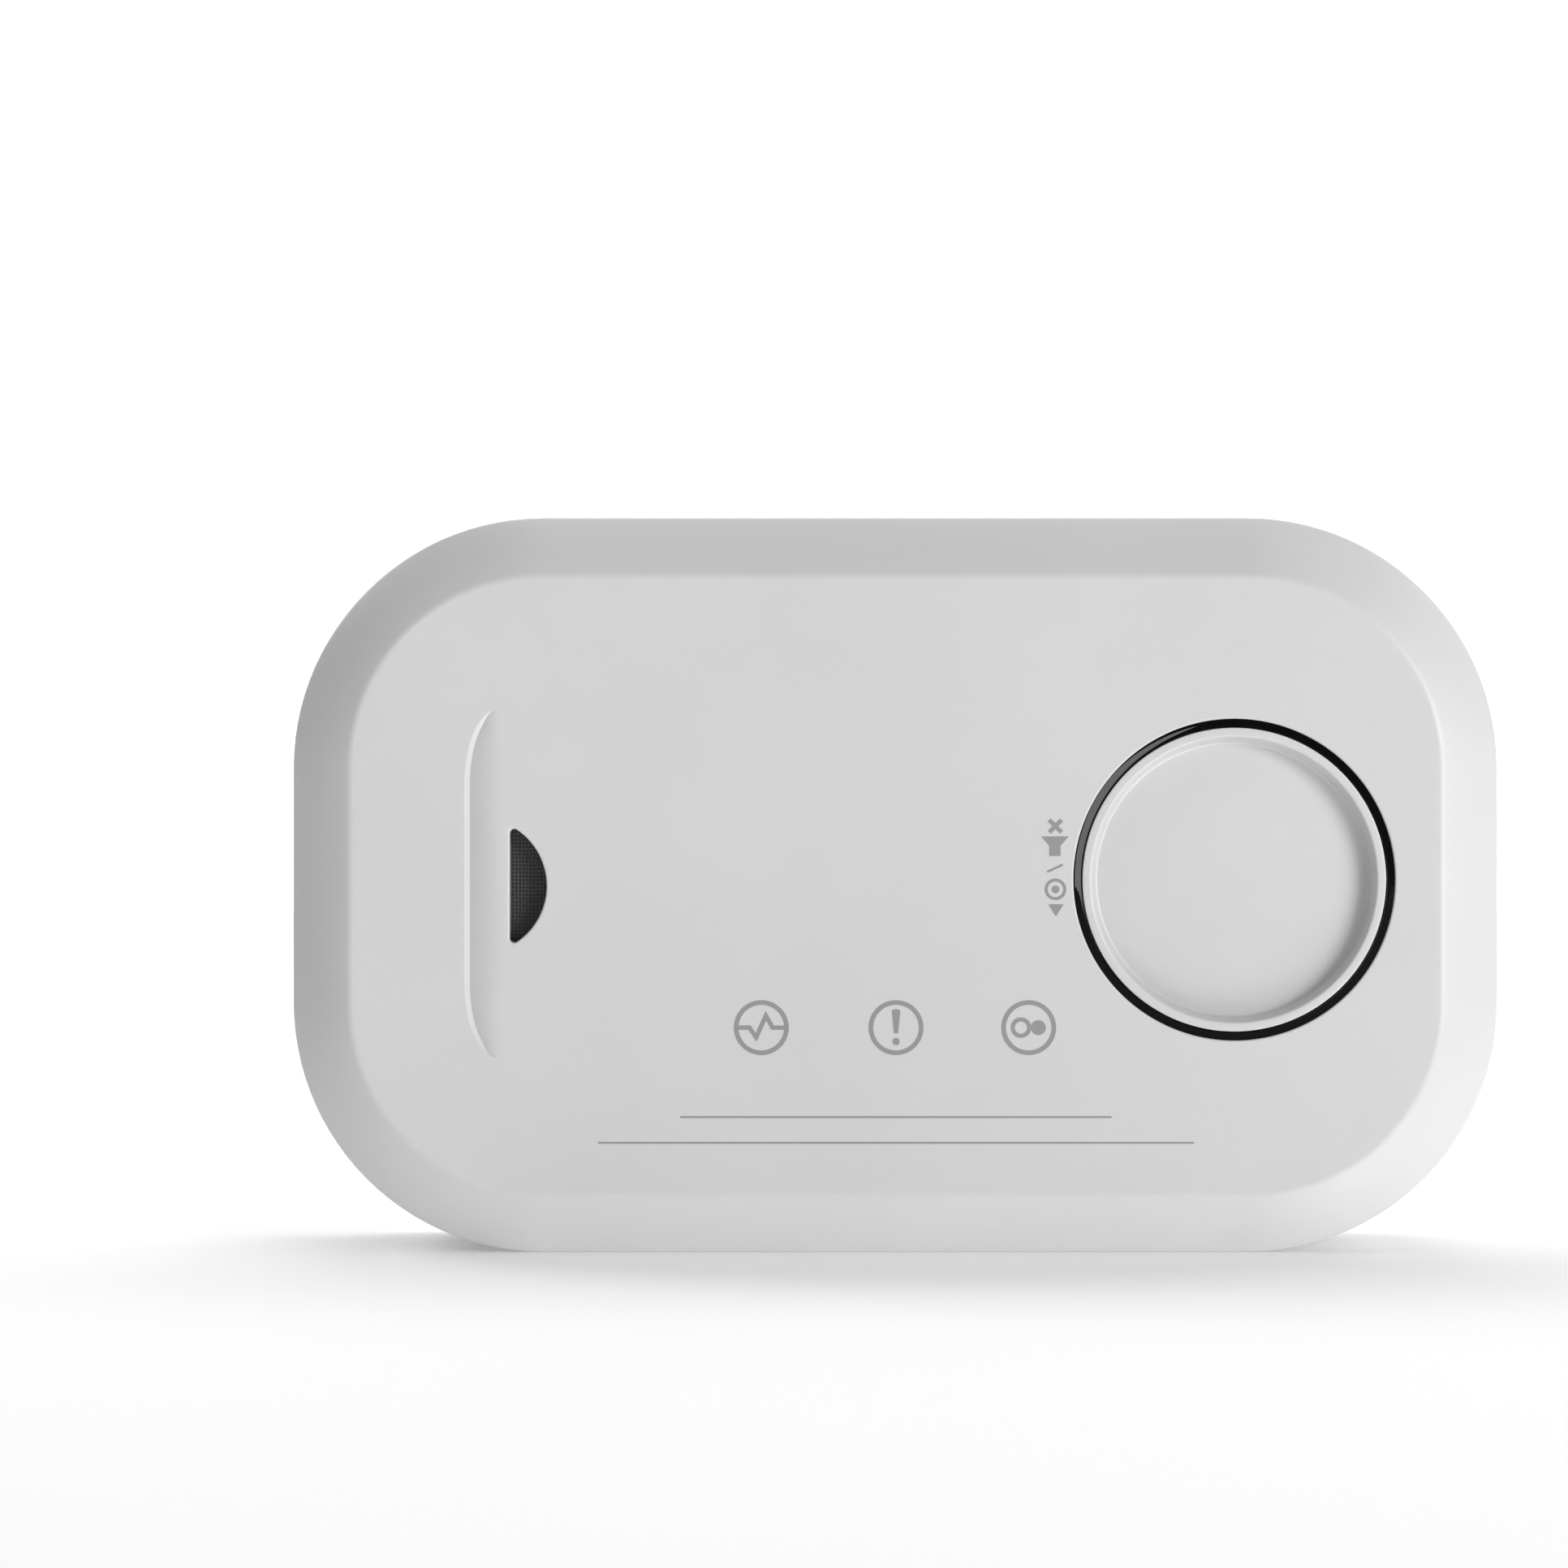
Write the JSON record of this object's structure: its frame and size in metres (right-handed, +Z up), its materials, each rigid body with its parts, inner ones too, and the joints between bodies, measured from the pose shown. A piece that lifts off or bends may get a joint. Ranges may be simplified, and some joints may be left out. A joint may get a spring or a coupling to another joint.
{
  "type": "carbon monoxide detector",
  "caption": "Battery carbon monoxide alarm in a rounded white housing with a large round test button, a sounder opening, warning lamps and a hinged rear battery door.",
  "frame": {"origin": "on the ground under the middle of the housing, standing on its lower long edge", "axes": "+X to the right seen from the front, -Y out of the front face, +Z up"},
  "size_m": [0.118, 0.034, 0.072],
  "materials": {
    "white_shell": "fine satin moulding",
    "label_film": "satin film",
    "screw_steel": "zinc plated",
    "ring_black": "piano black",
    "switch_black": "moulded",
    "board_green": "solder mask",
    "chip_black": "moulded",
    "can_aluminium": "satin can",
    "ferrite": "wound ferrite",
    "chip_tan": "fired ceramic",
    "lamp_green": "tinted epoxy",
    "lamp_amber": "tinted epoxy",
    "lamp_red": "tinted epoxy",
    "mesh_black": "fine woven mesh",
    "foam_grey": "closed-cell foam",
    "sounder_black": "moulded",
    "disc_brass": "rolled sheet",
    "disc_ceramic": "silvered ceramic",
    "pin_tinned": "tinned wire",
    "sensor_white": "moulded",
    "sensor_black": "moulded",
    "cell_jacket": "printed film over steel",
    "contact_nickel": "nickel plated"
  },
  "bodies": {
    "housing": {"front_cover": "white_shell", "rear_cover": "white_shell", "cover_screws": "screw_steel", "pcb_screws": "screw_steel", "bezel_ring": "ring_black", "switch_body": "switch_black", "main_pcb": "board_green", "microcontroller": "chip_black", "capacitor": "can_aluminium", "inductor": "ferrite", "chip_components": "chip_tan", "led_power": "lamp_green", "led_fault": "lamp_amber", "led_alarm": "lamp_red", "led_shroud": "chip_black", "sounder_mesh": "mesh_black", "sounder_gasket": "foam_grey", "sounder_housing": "sounder_black", "sounder_base": "sounder_black", "piezo_disc": "disc_brass", "piezo_ceramic": "disc_ceramic", "sounder_pins": "pin_tinned", "co_sensor_body": "sensor_white", "co_sensor_cap": "sensor_black", "co_sensor_pins": "pin_tinned", "battery_1": "cell_jacket", "battery_2": "cell_jacket", "contact_springs": "contact_nickel", "contact_plates": "contact_nickel", "contact_bridge": "contact_nickel"},
    "button": {"test_button": "white_shell", "switch_plunger": "switch_black"},
    "door": {"battery_door": "white_shell", "rating_label": "label_film"}
  },
  "joints": [
    {"name": "button_press", "type": "slide", "parent": "housing", "child": "button", "axis": [0, 1, 0], "range_m": [0, 0.0008], "stiffness_N_per_m": 3000},
    {"name": "battery_door_hinge", "type": "hinge", "parent": "housing", "child": "door", "pos_m": [0, 0.0154, 0.0547], "axis": [1, 0, 0], "range_deg": [0, 100]}
  ]
}
